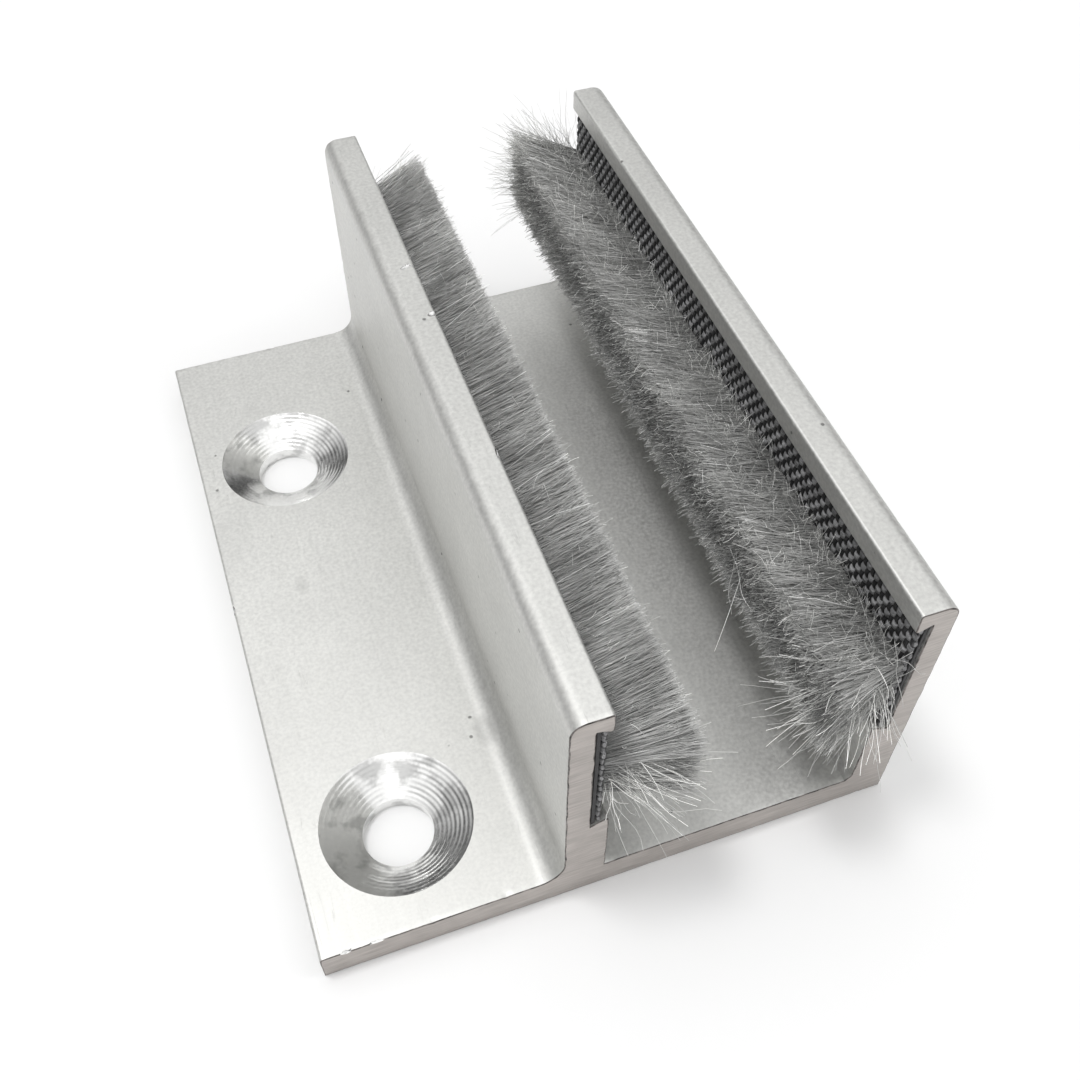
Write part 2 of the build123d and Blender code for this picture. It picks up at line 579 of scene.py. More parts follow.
class StageSettings(bpy.types.PropertyGroup):
    """Lamps and camera of the plain studio."""

    key_power: FloatProperty(name="Key power", description="Overhead lamp", default=1.0, unit="POWER")
    fill_power: FloatProperty(name="Fill power", description="Front lamp", default=0.4, unit="POWER")
    side_power: FloatProperty(name="Side power", description="Right lamp", default=0.4, unit="POWER")
    zenith: FloatProperty(name="Zenith", description="World strength overhead", default=1.15)
    horizon: FloatProperty(name="Horizon", description="World strength at the horizon", default=0.1)
    lens: FloatProperty(name="Lens", description="Focal length in millimetres", default=40.6)


class FloorGuideSettings(bpy.types.PropertyGroup):
    """All settings of the floor guide."""

    finish: PointerProperty(type=FinishSettings)
    profile: PointerProperty(type=ProfileSettings)
    weave: PointerProperty(type=WeaveSettings)
    pile: PointerProperty(type=PileSettings)
    stage: PointerProperty(type=StageSettings)


# ---------------------------------------------------------------- the extruded profile


def stepped(points, step):
    """A closed outline with extra points, so that no step is longer than the given one."""
    result = []
    for start, end in zip(points, points[1:] + points[:1]):
        count = max(1, math.ceil(math.dist(start, end) / step))
        for i in range(count):
            share = i / count
            result.append((start[0] + share * (end[0] - start[0]), start[1] + share * (end[1] - start[1])))
    return result


def outline_mesh(step):
    """The profile's outline as a ring of edges in the XY plane."""
    points = stepped(profile_outline(), step)
    mesh = bpy.data.meshes.new("profile_outline")
    edges = [(i, (i + 1) % len(points)) for i in range(len(points))]
    mesh.from_pydata([(x, z, 0.0) for x, z in points], edges, [])
    return mesh


def bar_tree():
    """Sweeps an outline along Y, with rounded, burred and chipped sawn edges."""
    shape = Shape("Sawn bar")
    half = shape.ask("Half Length")
    rings = shape.ask("Rings", "Int")
    edge_break = shape.ask("Edge Break")
    burr = shape.ask("Burr")
    chip = shape.ask("Chip")
    seed = shape.ask("Seed")
    body = shape.ask("Body Material", "Material")
    sawn = shape.ask("Sawn Material", "Material")
    edge = shape.ask("Edge Shade Material", "Material")

    outline = shape.add("GeometryNodeMeshToCurve", {"Mesh": shape.geometry()})
    ends = {"Start": (0.0, 0.0, -1.0), "End": (0.0, 0.0, 1.0)}
    line = shape.add("GeometryNodeCurvePrimitiveLine", ends)
    line = shape.add("GeometryNodeResampleCurve", {"Curve": line, "Count": rings * 2.0 + 1.0})
    along = shape.position().parts()[2]
    near_end = (1.0 - along.math("ABSOLUTE")).math("POWER", 3.0)
    place = along.math("SIGN") * (1.0 - near_end) * half
    moved = {"Geometry": line, "Position": shape.combine(0.0, 0.0, place)}
    line = shape.add("GeometryNodeSetPosition", moved)
    sweep = {"Curve": line, "Profile Curve": outline, "Scale": 1.0, "Fill Caps": True}
    bar = shape.add("GeometryNodeCurveToMesh", sweep)
    turn = {"Geometry": bar, "Rotation": Euler((math.pi / 2, 0.0, 0.0))}
    bar = shape.add("GeometryNodeTransform", turn)

    place = shape.position()
    depth = half - place.parts()[1].math("ABSOLUTE")
    wear = shape.noise(place, 0.9, 2.0, seed)
    radius = edge_break * wear.fit(0.3, 0.7, 0.5, 1.6)
    step = (radius - depth).math("MAXIMUM", 0.0)
    rounding = radius - (radius * radius - step * step).math("MAXIMUM", 0.0).math("SQRT")
    chips = shape.noise(place, 0.75, 3.0, seed + 3.0).fit(0.62, 0.74) * chip
    chips = chips * depth.fit(0.0, 0.3 * MM, 1.0, 0.0)
    ridge = shape.noise(place, 1.6, 2.0, seed + 7.0).fit(0.5, 0.7) * burr
    ridge = ridge * depth.fit(0.0, 0.25 * MM, 1.0, 0.0) * (step * 1e9).fit(0.0, 1.0, 1.0, 0.0)
    x, _, z = shape.add("GeometryNodeInputNormal").parts()
    upward = z.fit(-0.9, -0.6)
    outward = shape.combine(x, 0.0, z).vector("NORMALIZE")
    moved = outward.vector("SCALE", ridge * upward - rounding - chips)
    bar = shape.add("GeometryNodeSetPosition", {"Geometry": bar, "Offset": moved})
    bar = shape.add("GeometryNodeSetMaterial", {"Geometry": bar, "Material": body})
    depth = half - shape.position().parts()[1].math("ABSOLUTE")
    # The faces next to each sawn end get the edge material, which is painted shade.
    rim = depth.math("LESS_THAN", 0.13 * MM)
    bar = shape.add("GeometryNodeSetMaterial", {"Geometry": bar, "Selection": rim, "Material": edge})
    face = depth.math("LESS_THAN", 0.001 * MM)
    bar = shape.add("GeometryNodeSetMaterial", {"Geometry": bar, "Selection": face, "Material": sawn})
    shape.give(bar)
    return shape


def chatter(distance, azimuth, seed, settings):
    """How far a turning ring is cut into the cone, at a distance up its slope."""
    swing = 0.22 * math.sin(azimuth + 1.3 * seed) + 0.12 * math.sin(3 * azimuth + seed)
    wave = 0.5 - 0.5 * math.cos(math.tau * (distance / settings.chatter_pitch + swing))
    rough = Vector((math.cos(azimuth), math.sin(azimuth), distance / MM * 0.9 + 5 * seed))
    torn = noise.noise(rough * 1.7)
    side = 0.55 + 0.45 * math.cos(azimuth - math.radians(35))
    return settings.chatter_depth * (wave * side * (0.7 + 0.6 * torn) + 0.25 * torn)


def add_sink(shape, hole, seed, settings):
    """Adds a cutter for one countersunk hole: its shank, its ringed cone and a lid above the plate."""
    x, y, radius = hole
    rim, top, foot = countersink(*hole)
    slope = (rim - radius) / (top - foot)
    tilt = math.atan(slope)
    run = math.hypot(rim - radius, top - foot)
    steps = 46
    around = 168
    past = 1.12  # the cone runs on above the plate, so that the cut is clean
    shank_foot = -0.4 * MM
    loops = [[(radius, z)] * around for z in (shank_foot, foot)]
    for i in range(1, steps + 1):
        distance = run * past * i / steps
        loop = []
        for j in range(around):
            azimuth = math.tau * j / around
            fade = min(1.0, distance / (0.3 * MM))
            cut = fade * chatter(distance, azimuth, seed, settings)
            r = radius + distance * math.sin(tilt) + cut * math.cos(tilt)
            z = foot + distance * math.cos(tilt) - cut * math.sin(tilt)
            loop.append((r, z))
        loops.append(loop)
    verts = []
    for loop in loops:
        ring = []
        for j, (r, z) in enumerate(loop):
            azimuth = math.tau * j / around
            ring.append(shape.verts.new((x + r * math.cos(azimuth), y + r * math.sin(azimuth), z)))
        verts.append(ring)
    for low, high in zip(verts, verts[1:]):
        for j in range(around):
            k = (j + 1) % around
            shape.faces.new((low[j], low[k], high[k], high[j]))
    shape.faces.new(verts[0][::-1])
    shape.faces.new(verts[-1])


def add_nick(shape, place, size, turn, seed):
    """Adds a cutter for one small dent: a rough squashed pebble."""
    matrix = Matrix.Translation(place) @ Euler(turn).to_matrix().to_4x4() @ Matrix.Diagonal((*size, 1.0))
    made = bmesh.ops.create_icosphere(shape, subdivisions=2, radius=1.0)
    for vertex in made["verts"]:
        vertex.co *= 1.0 + 0.35 * noise.noise(vertex.co * 1.8 + Vector((seed, 0.0, 0.0)))
        vertex.co = matrix @ vertex.co


def profile_nicks():
    """Dents on the lips and the plate's edges, as (place, half sizes, turn)."""
    low, high = (Vector(corner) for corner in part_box("channel_profile"))
    outline = profile_outline()
    left_lip = min(x for x, z in outline if z > high.z - WELD)
    lip_top = high.z
    plate_top = countersink(*screw_holes()[0])[1]
    return [
        ((left_lip + 1.1 * MM, 12.4 * MM, lip_top), (0.5 * MM, 0.2 * MM, 0.1 * MM), (0.0, 0.0, 0.4)),
        ((left_lip + 1.5 * MM, 6.3 * MM, lip_top), (0.35 * MM, 0.3 * MM, 0.1 * MM), (0.0, 0.0, 0.9)),
        ((left_lip + 1.9 * MM, -8.9 * MM, lip_top), (0.3 * MM, 0.75 * MM, 0.14 * MM), (0.0, 0.0, -0.2)),
        ((low.x, 0.5 * MM, plate_top), (0.2 * MM, 0.6 * MM, 0.25 * MM), (0.0, 0.0, 0.0)),
        ((low.x + 1.9 * MM, low.y, plate_top), (0.45 * MM, 0.2 * MM, 0.2 * MM), (0.0, 0.0, 0.2)),
        ((low.x + 4.2 * MM, low.y, plate_top), (0.6 * MM, 0.16 * MM, 0.14 * MM), (0.0, 0.0, -0.1)),
    ]


def build_profile(settings):
    """The extruded profile with its sawn ends, ringed countersinks and dents."""
    look = settings.finish
    low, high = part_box("channel_profile")
    body = anodised_material(look)
    values = {
        "Half Length": (high.y - low.y) / 2,
        "Rings": settings.profile.rings,
        "Edge Break": settings.profile.edge_break,
        "Burr": settings.profile.burr,
        "Chip": settings.profile.chip,
        "Seed": 4.0,
        "Body Material": body,
        "Sawn Material": sawn_material(look),
        "Edge Shade Material": edge_shade_material(look),
    }
    bar = run_tree(bar_tree(), "bar_blank", outline_mesh(settings.profile.outline_step), values)
    cutter_shape = bmesh.new()
    for seed, hole in enumerate(screw_holes()):
        add_sink(cutter_shape, hole, seed, settings.profile)
    for seed, (place, size, turn) in enumerate(profile_nicks()):
        add_nick(cutter_shape, place, size, turn, seed)
    cutter_mesh = bpy.data.meshes.new("cutters")
    cutter_shape.to_mesh(cutter_mesh)
    cutter_shape.free()
    cutter_mesh.materials.append(machined_material(look))
    cutter = bpy.data.objects.new("cutters", cutter_mesh)
    bpy.context.scene.collection.objects.link(cutter)
    cut = bar.modifiers.new("Cut", "BOOLEAN")
    cut.object = cutter
    cut.operation = "DIFFERENCE"
    cut.solver = "EXACT"
    cut.material_mode = "TRANSFER"
    profile = plain_copy(bar, "extruded_channel")
    bpy.data.objects.remove(bar)
    bpy.data.objects.remove(cutter)
    profile.data.shade_smooth()
    profile.data.set_sharp_from_angle(angle=math.radians(20))
    settle(profile, "profile", "anodised_aluminium", "channel_profile")


# ---------------------------------------------------------------- the woven backings


def yarn_layer(shape, along, across, run, width, count, crossings, phase, sizes):
    """One set of parallel yarns that wave over and under the other set."""
    thickness, yarn_width, wave, looseness, seed = sizes
    stretch = yarn_width / thickness
    axis = {"y": (0.0, 1.0, 0.0), "z": (0.0, 0.0, 1.0)}
    run_axis = axis[along]
    step_axis = axis[across]
    pitch = width / count
    other_pitch = run / crossings
    first = shape.combine(*[(width * -0.5 + pitch * 0.5) / stretch * step for step in step_axis])
    offset = shape.combine(*[pitch / stretch * step for step in step_axis])
    rows = shape.add("GeometryNodeMeshLine", {"Count": count, "Start Location": first, "Offset": offset})
    index = shape.add("GeometryNodeInputIndex")
    rows = shape.add("GeometryNodeStoreNamedAttribute", {0: rows, 2: "yarn_row", 3: index * 1.0})
    start = shape.combine(*[run * (-0.5 * step) for step in run_axis])
    end = shape.combine(*[run * (0.5 * step) for step in run_axis])
    line = shape.add("GeometryNodeCurvePrimitiveLine", {"Start": start, "End": end})
    line = shape.add("GeometryNodeResampleCurve", {"Curve": line, "Count": crossings * 3.0 + 1.0})
    yarns = shape.add("GeometryNodeInstanceOnPoints", {"Points": rows, "Instance": line})
    yarns = shape.add("GeometryNodeRealizeInstances", {0: yarns})
    place = shape.position()
    _, y, z = place.parts()
    travel = (y if along == "y" else z) + run * 0.5
    row = shape.add("GeometryNodeInputNamedAttribute", {0: "yarn_row"}, data_type="FLOAT")
    angle = (travel / other_pitch + row - 0.5 + phase) * math.pi
    wander = shape.noise(shape.combine(row * (3.0 * MM), y, z), 0.8, 1.0, seed)["Color"]
    wander = wander.vector("SUBTRACT", (0.5, 0.5, 0.5)).vector("SCALE", looseness)
    rise = shape.combine(angle.math("COSINE") * wave, 0.0, 0.0)
    yarns = shape.add("GeometryNodeSetPosition", {"Geometry": yarns, "Offset": rise.vector("ADD", wander)})
    ring = shape.add("GeometryNodeCurvePrimitiveCircle", {"Resolution": 6, "Radius": thickness * 0.5})
    tube = {"Curve": yarns, "Profile Curve": ring, "Scale": 1.0, "Fill Caps": True}
    tubes = shape.add("GeometryNodeCurveToMesh", tube)
    scale = shape.combine(1.0, *[(stretch if across == name else 1.0) for name in "yz"])
    return shape.add("GeometryNodeTransform", {"Geometry": tubes, "Scale": scale})


def weave_tree():
    """A plain weave of two sets of yarns in the YZ plane, around a centre."""
    shape = Shape("Plain weave")
    centre = shape.ask("Centre", "Vector")
    long_run = shape.ask("Length")
    width = shape.ask("Width")
    thickness = shape.ask("Yarn Thickness")
    wave = shape.ask("Wave")
    warps = shape.ask("Warps", "Int")
    wefts = shape.ask("Wefts", "Int")
    warp_width = shape.ask("Warp Width")
    weft_width = shape.ask("Weft Width")
    looseness = shape.ask("Looseness")
    bulge = shape.ask("Bulge")
    bulge_place = shape.ask("Bulge Place")
    seed = shape.ask("Seed")
    warp_material = shape.ask("Warp Material", "Material")
    weft_material = shape.ask("Weft Material", "Material")

    sizes = (thickness, warp_width, wave, looseness, seed)
    warp = yarn_layer(shape, "y", "z", long_run, width, warps, wefts, 0.0, sizes)
    warp = shape.add("GeometryNodeSetMaterial", {"Geometry": warp, "Material": warp_material})
    sizes = (thickness, weft_width, wave, looseness, seed + 5.0)
    weft = yarn_layer(shape, "z", "y", width, long_run, wefts, warps, 1.0, sizes)
    weft = shape.add("GeometryNodeSetMaterial", {"Geometry": weft, "Material": weft_material})
    cloth = shape.add("GeometryNodeJoinGeometry")
    shape.tree.links.new(weft.socket, cloth.node.inputs[0])
    shape.tree.links.new(warp.socket, cloth.node.inputs[0])
    _, y, z = shape.position().parts()
    away = (y - bulge_place) / (1.3 * MM)
    hump = (away * away * -1.0).math("EXPONENT") * z.fit(0.0, 6.0 * MM) * bulge
    cloth = shape.add("GeometryNodeSetPosition", {"Geometry": cloth, "Offset": shape.combine(0.0, 0.0, hump)})
    cloth = shape.add("GeometryNodeTransform", {"Geometry": cloth, "Translation": centre})
    cloth = shape.add("GeometryNodeSetShadeSmooth", {"Geometry": cloth})
    shape.give(cloth)
    return shape


def empty_mesh(name):
    return bpy.data.meshes.new(name)


def build_weaves(settings):
    """The woven backing of each strip, yarn by yarn."""
    look = settings.finish
    sizes = settings.weave
    tree = weave_tree()
    # The long yarns' lighter grey is painted sheen.
    warp = yarn_material("long_yarn_painted_sheen", look.warp, (1.0, 0.06, 1.0), 0.36)
    weft = yarn_material("cross_yarn", look.weft, (1.0, 1.0, 0.06), 0.45)
    for seed, side in enumerate(SIDES):
        node = f"{side}_woven_backing"
        low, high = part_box(node)
        depth = high.x - low.x
        run = high.y - low.y
        thickness = depth * 0.48
        margin = thickness * 0.5
        values = {
            "Centre": (low + high) / 2,
            "Length": run,
            "Width": high.z - low.z,
            "Yarn Thickness": thickness,
            "Wave": depth / 2 - margin - sizes.looseness * 0.25,
            "Warps": sizes.warps,
            "Wefts": round(run / sizes.weft_pitch),
            "Warp Width": sizes.warp_width,
            "Weft Width": sizes.weft_width,
            "Looseness": sizes.looseness,
            "Bulge": sizes.bulge if side == "right" else 0.0,
            "Bulge Place": sizes.bulge_place,
            "Seed": seed * 20.0,
            "Warp Material": warp,
            "Weft Material": weft,
        }
        cloth = run_tree(tree, f"{side}_weave", empty_mesh(f"{side}_weave_seed"), values)
        settle(cloth, f"{side}_strip", "backing_weave", node)


# ---------------------------------------------------------------- the pile


# Each kind of filament: shares of the bow and of the wave, number of waves, and where they start.
FILAMENT_KINDS = (
    (0.2, 1.0, 0.9, 0.0),
    (0.5, 0.6, 0.7, 1.0),
    (0.8, 1.2, 0.8, 2.0),
    (0.1, 1.6, 1.0, 4.0),
    (1.7, 1.0, 0.6, 3.0),
)
# How unruly each strip's pile is.
TEMPER = {"left": 0.55, "right": 1.0}


def filament(shape, radius, taper, bend, crimp, waves, phase):
    """One filament of unit height: a bowed and crimped three-sided prism that narrows to its tip."""
    line = shape.add("GeometryNodeCurvePrimitiveLine", {"End": (0.0, 0.0, 1.0)})
    line = shape.add("GeometryNodeResampleCurve", {"Curve": line, "Count": 4})
    run = shape.add("GeometryNodeSplineParameter")
    line = shape.add("GeometryNodeStoreNamedAttribute", {0: line, 2: "fibre_run", 3: run})
    bow = run * run * bend
    wave = (run * (waves * math.tau) + phase).math("SINE") * crimp * run
    line = shape.add("GeometryNodeSetPosition", {"Geometry": line, "Offset": shape.combine(bow, wave, 0.0)})
    ring = shape.add("GeometryNodeCurvePrimitiveCircle", {"Resolution": 3, "Radius": radius})
    narrow = run.fit(0.0, 1.0, 1.0, taper)
    sweep = {"Curve": line, "Profile Curve": ring, "Scale": narrow, "Fill Caps": True}
    prism = shape.add("GeometryNodeCurveToMesh", sweep)
    return shape.add("GeometryNodeGeometryToInstance", {0: prism})


def pile_tree():
    """Plants filaments on a root patch and fans them out to a wider band of tips."""
    shape = Shape("Cut pile")
    reach = shape.ask("Reach")
    middle = shape.ask("Root Middle")
    root_half = shape.ask("Root Half Height")
    fan = shape.ask("Fan")
    rise = shape.ask("Rise")
    half = shape.ask("Half Length")
    splay = shape.ask("End Splay")
    splay_depth = shape.ask("Splay Depth")
    density = shape.ask("Density")
    radius = shape.ask("Radius")
    taper = shape.ask("Taper")
    bend = shape.ask("Bend")
    crimp = shape.ask("Crimp")
    ragged = shape.ask("Raggedness")
    tangle = shape.ask("Tangle")
    clump = shape.ask("Clump")
    seed = shape.ask("Seed", "Int")
    material = shape.ask("Material", "Material")

    place = shape.position()
    _, y, z = place.parts()
    outer = ((z - middle).math("ABSOLUTE") / root_half).fit(0.45, 1.0, 0.5, 2.1)
    points = {"Mesh": shape.geometry(), "Density": density * outer, "Seed": seed}
    roots = shape.add("GeometryNodeDistributePointsOnFaces", points)
    spread = (y.math("ABSOLUTE") - half).fit(splay_depth * -1.0, 0.0)
    splay_y = spread * spread * splay * y.math("SIGN")
    stray = shape.random_vector(1.0, seed + 11.0)
    wild = stray.vector("SCALE", stray.vector("LENGTH")["Value"].math("POWER", 3.0) * 0.5)
    stray = stray.vector("SCALE", 0.4).vector("ADD", wild).vector("SCALE", tangle)
    lean = shape.noise(place, 0.55, 2.0)["Color"].vector("SUBTRACT", (0.5, 0.5, 0.5))
    lean = lean.vector("SCALE", clump)
    cut = shape.random(1.0, -1.0, seed + 23.0) * ragged + 1.0
    straight = shape.combine(reach * cut, splay_y, (z - middle) * fan + rise)
    sideways = stray.vector("ADD", lean).vector("MULTIPLY", (0.25, 1.0, 1.0))
    tip = straight.vector("ADD", sideways)
    spin = shape.random(0.0, math.tau, seed + 31.0)
    turned = shape.add("FunctionNodeAxisAngleToRotation", {"Axis": (0.0, 0.0, 1.0), "Angle": spin})
    aim = {"Rotation": turned, "Vector": tip}
    turned = shape.add("FunctionNodeAlignRotationToVector", aim, axis="Z")
    stretch = shape.combine(1.0, 1.0, tip.vector("LENGTH")["Value"])

    kinds = shape.add("GeometryNodeJoinGeometry")
    for bow, wave, waves, phase in FILAMENT_KINDS:
        kind = filament(shape, radius, taper, bend * bow, crimp * wave, waves, phase)
        shape.tree.links.new(kind.socket, kinds.node.inputs[0])
    choice = {4: 0, 5: len(FILAMENT_KINDS) - 1, 8: seed + 41.0}
    choice = shape.add("FunctionNodeRandomValue", choice, output=2, data_type="INT")
    planted = {
        "Points": roots,
        "Instance": kinds,
        "Pick Instance": True,
        "Instance Index": choice,
        "Rotation": turned,
        "Scale": stretch,
    }
    pile = shape.add("GeometryNodeInstanceOnPoints", planted)
    tone = {0: pile, 2: "fibre_tone", 3: shape.random(0.0, 1.0, seed + 53.0)}
    pile = shape.add("GeometryNodeStoreNamedAttribute", tone, domain="INSTANCE")
    # How far out each filament roots; the filament material paints light on outer tips and shade on inner
    # tips from it.
    outer = {0: pile, 2: "fibre_outer", 3: (z - middle).math("ABSOLUTE") / root_half}
    pile = shape.add("GeometryNodeStoreNamedAttribute", outer, domain="INSTANCE")
    pile = shape.add("GeometryNodeRealizeInstances", {0: pile})
    pile = shape.add("GeometryNodeSetShadeSmooth", {"Geometry": pile})
    pile = shape.add("GeometryNodeSetMaterial", {"Geometry": pile, "Material": material})
    shape.give(pile)
    return shape


def heart_tree():
    """A fan-shaped block of packed filaments with a softly uneven surface."""
    shape = Shape("Packed pile")
    face = shape.ask("Face")
    reach = shape.ask("Reach")
    middle = shape.ask("Root Middle")
    root_half = shape.ask("Root Half Height")
    fan = shape.ask("Fan")
    rise = shape.ask("Rise")
    half = shape.ask("Half Length")
    splay = shape.ask("End Splay")
    inset = shape.ask("Inset")
    material = shape.ask("Material", "Material")
    cube = {"Vertices X": 12, "Vertices Y": 160, "Vertices Z": 14}
    block = shape.add("GeometryNodeMeshCube", cube)
    x, y, z = shape.position().parts()
    run = x + 0.5
    # The run from root to tip, from which the material paints shade at the roots and on the tip face.
    block = shape.add("GeometryNodeStoreNamedAttribute", {0: block, 2: "fibre_run", 3: run})
    side = (root_half + root_half * fan * run - inset) * 2.0
    along = (half + splay * run * run * 0.8 - inset) * 2.0
    depth = face + (reach - inset * reach.math("SIGN")) * run
    place = shape.combine(depth, y * along, z * side + rise * run + middle)
    block = shape.add("GeometryNodeSetPosition", {"Geometry": block, "Position": place})
    lumps = shape.noise(shape.position(), 0.8, 2.0)["Color"].vector("SUBTRACT", (0.5, 0.5, 0.5))
    lumps = lumps.vector("SCALE", inset * 1.2)
    block = shape.add("GeometryNodeSetPosition", {"Geometry": block, "Offset": lumps})
    block = shape.add("GeometryNodeSetShadeSmooth", {"Geometry": block})
    shape.give(shape.add("GeometryNodeSetMaterial", {"Geometry": block, "Material": material}))
    return shape


def patch_mesh(name, x, y_range, z_range):
    """An upright rectangle in level strips, on which filaments are rooted."""
    strips = 12
    low, high = z_range
    levels = [low + (high - low) * i / strips for i in range(strips + 1)]
    corners = [(x, y, z) for z in levels for y in y_range]
    mesh = bpy.data.meshes.new(name)
    mesh.from_pydata(corners, [], [(2 * i, 2 * i + 1, 2 * i + 3, 2 * i + 2) for i in range(strips)])
    return mesh


def build_piles(settings):
    """The cut pile of each strip, in sections along it."""
    look = settings.finish
    sizes = settings.pile
    tree = pile_tree()
    heart_shape = heart_tree()
    # The packed heart's material is darker than the filaments: painted shade deep in the pile.
    packed = packed_shade_material(look)
    # Root and tip numbers are painted shade at the roots, painted shade on inner tips and painted light on
    # outer tips.
    materials = {
        "left": fibre_material("left_pile_filaments", look.fibre, 0.5, (1.0, 1.35), 0.02),
        "right": fibre_material("right_pile_filaments", look.fibre, 0.6, (0.6, 1.3), 0.05),
    }
    for number, side in enumerate(SIDES):
        low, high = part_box(f"{side}_pile")
        backing_low, backing_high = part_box(f"{side}_woven_backing")
        face, root_low, root_high = root_band(side)
        middle = (root_low + root_high) / 2
        half = (backing_high.y - backing_low.y) / 2
        tips = [c.z for c in corners_of(f"{side}_pile") if abs(c.x - face) > 1.0 * MM]
        inset = 0.12 * MM
        fan_sizes = {
            "Root Middle": middle,
            "Root Half Height": (root_high - root_low) / 2,
            "Fan": (max(tips) - min(tips)) / (root_high - root_low) - 1,
            "Rise": (max(tips) + min(tips)) / 2 - middle,
            "Half Length": half,
            "End Splay": high.y - half,
        }
        heart = {
            **fan_sizes,
            "Face": face,
            "Reach": REACH[side] * (high.x - low.x),
            "Inset": sizes.heart_inset,
            "Material": packed,
        }
        name = f"{side}_pile_heart"
        settle(run_tree(heart_shape, name, empty_mesh(name), heart), f"{side}_strip", "pile", f"{side}_pile")
        step = 2 * half / sizes.sections
        for section in range(sizes.sections):
            start = -half + section * step
            patch_name = f"{side}_root_patch_{section + 1}"
            x = face - REACH[side] * inset
            patch = patch_mesh(patch_name, x, (start, start + step), (root_low, root_high))
            values = {
                **fan_sizes,
                "Reach": REACH[side] * (high.x - low.x + inset),
                "Splay Depth": 5 * MM,
                "Density": sizes.density / MM**2,
                "Radius": sizes.radius,
                "Taper": sizes.taper,
                "Bend": sizes.bend,
                "Crimp": sizes.crimp,
                "Raggedness": sizes.ragged,
                "Tangle": sizes.tangle * TEMPER[side],
                "Clump": sizes.clump * TEMPER[side],
                "Seed": 100 * number + section,
                "Material": materials[side],
            }
            pile = run_tree(tree, f"{side}_pile_section_{section + 1}", patch, values)
            settle(pile, f"{side}_strip", "pile", f"{side}_pile")


# ---------------------------------------------------------------- loose filaments


# Each tuft: name, side, count, where its roots lie (share of the way to the tips, share along the
# strip, share across the pile, each as a range), its aim (to the tips, along, up), how far the aims
# spread, and its shortest and longest length, its curl and its radius in millimetres.
TUFTS = (
    (
        "left_tip_fringe", 1100, (0.8, 1.0), (-1.0, 1.0), (-1.0, 1.0),
        (1.0, 0.0, 0.05), 0.3, (0.5, 1.3), 0.15, 0.018,
    ),
    (
        "left_top_fuzz", 700, (0.1, 0.9), (-1.0, 1.0), (0.95, 1.0),
        (0.8, 0.0, 0.45), 0.6, (0.5, 1.3), 0.2, 0.018,
    ),
    (
        "left_near_tuft", 150, (0.0, 0.3), (-1.0, -0.96), (-0.9, 1.0),
        (1.0, -0.4, -0.12), 0.38, (3.5, 6.6), 0.8, 0.024,
    ),
    (
        "left_near_curls", 26, (0.0, 0.06), (-1.0, -0.985), (-1.0, 0.3),
        (0.3, -0.4, -1.0), 0.6, (2.5, 6.0), 1.8, 0.03,
    ),
    (
        "left_far_tuft", 260, (0.0, 0.6), (0.96, 1.0), (-1.0, 1.0),
        (1.0, 0.3, 0.25), 0.4, (2.0, 4.5), 0.5, 0.02,
    ),
    (
        "right_ridge_fuzz", 2600, (0.2, 1.0), (-1.0, 1.0), (0.88, 1.0),
        (0.7, 0.0, 0.8), 0.85, (0.9, 2.1), 0.35, 0.019,
    ),
    (
        "right_face_fuzz", 2200, (0.92, 1.0), (-1.0, 1.0), (-1.0, 1.0),
        (1.0, 0.0, 0.0), 0.75, (0.35, 1.0), 0.15, 0.02,
    ),
    (
        "right_root_fuzz", 900, (0.0, 0.2), (-1.0, 1.0), (0.8, 1.0),
        (0.15, 0.0, 1.0), 0.6, (0.8, 1.9), 0.4, 0.018,
    ),
    (
        "right_near_tuft", 240, (0.0, 0.5), (-1.0, -0.95), (-0.9, 1.0),
        (1.0, -0.3, -0.1), 0.5, (3.6, 7.4), 0.9, 0.028,
    ),
    (
        "right_far_tuft", 900, (0.0, 0.6), (0.94, 1.0), (-1.0, 1.0),
        (0.9, 0.3, 0.35), 0.5, (3.0, 6.3), 0.7, 0.02,
    ),
    (
        "right_long_stray", 3, (0.95, 1.0), (-0.62, -0.5), (-0.2, 0.4),
        (0.3, -0.9, -0.5), 0.15, (4.0, 6.0), 0.8, 0.03,
    ),
)


def pile_place(side, run, along, across):
    """A point in a strip's pile, from its shares of the way to the tips, the strip and the band."""
    low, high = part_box(f"{side}_pile")
    backing_low, backing_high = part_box(f"{side}_woven_backing")
    face, root_low, root_high = root_band(side)
    heights = [c.z for c in corners_of(f"{side}_pile") if abs(c.x - face) > 1.0 * MM]
    bottom = root_low + (min(heights) - root_low) * run
    top = root_high + (max(heights) - root_high) * run
    half = (backing_high.y - backing_low.y) / 2
    middle = (bottom + top) / 2
    x = face + REACH[side] * (high.x - low.x) * run
    return Vector((x, along * half, middle + across * (top - bottom) / 2))


def strand_points(root, aim, length, curl, face, toward, chance):
    """One bowed and waved filament, kept in front of the strip's backing."""
    steps = 4 if length < 2.2 * MM else 9
    bow = Vector([chance.uniform(-1, 1) for _ in range(3)])
    side = aim.cross(bow).normalized()
    turns = chance.uniform(0.3, 1.3)
    phase = chance.uniform(0, math.tau)
    points = []
    for i in range(steps + 1):
        run = i / steps
        wave = math.sin(phase + math.tau * turns * run) - math.sin(phase)
        place = root + aim * length * run + bow * curl * run * run + side * curl * 0.35 * wave * run
        place.x = max(place.x, face) if toward > 0 else min(place.x, face)
        points.append(place)
    return points


